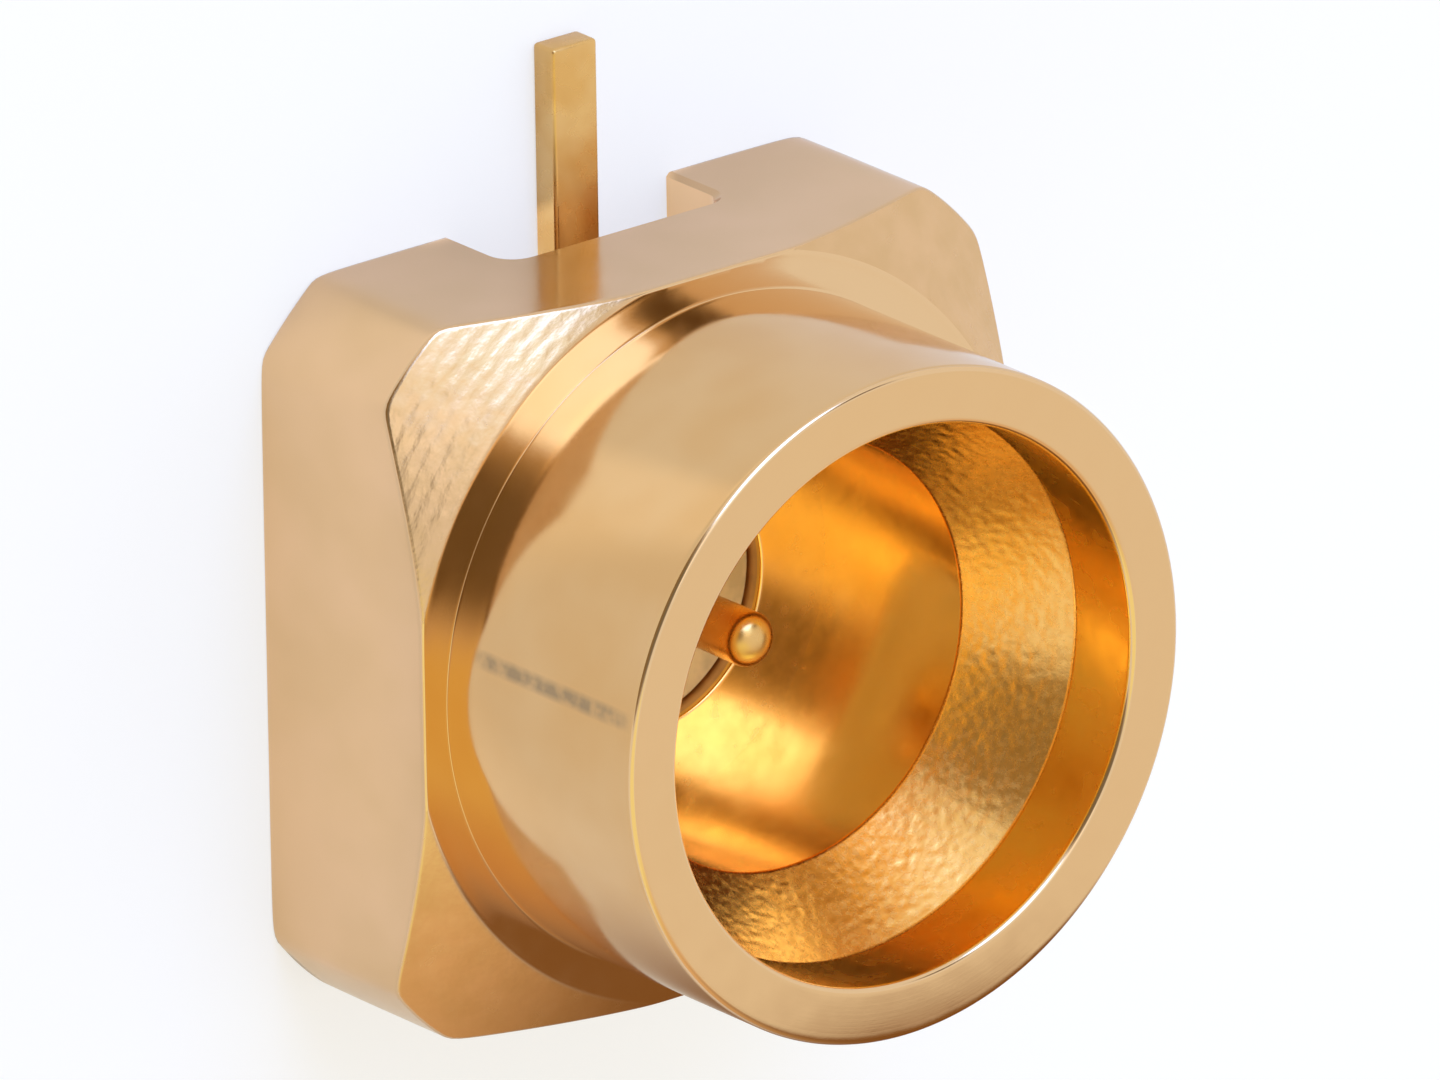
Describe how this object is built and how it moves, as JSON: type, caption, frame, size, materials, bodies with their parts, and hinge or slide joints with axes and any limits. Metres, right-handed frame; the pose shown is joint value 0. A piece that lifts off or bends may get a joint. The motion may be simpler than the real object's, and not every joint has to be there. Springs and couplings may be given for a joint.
{
  "type": "coaxial antenna connector",
  "caption": "Surface-mount push-on coaxial connector: square turned shell with a funnel mouth, an insulating bead and a centre pin with a flat solder tail.",
  "frame": {"origin": "where the mating axis meets the board face, at the centre of the square flange", "axes": "+Z along the mating axis, out of the mouth; +Y along the solder tail; +X to its right; the board face is Z = 0"},
  "size_m": [0.005, 0.0062, 0.0036],
  "materials": {
    "shell_gold": "polished gold plating over turned brass",
    "bead_polymer": "matt amber high-temperature polymer",
    "contact_gold": "smooth gold plating over a copper alloy"
  },
  "bodies": {
    "root": {"shell": "shell_gold", "insulating_bead": "bead_polymer", "centre_contact": "contact_gold"}
  },
  "joints": []
}
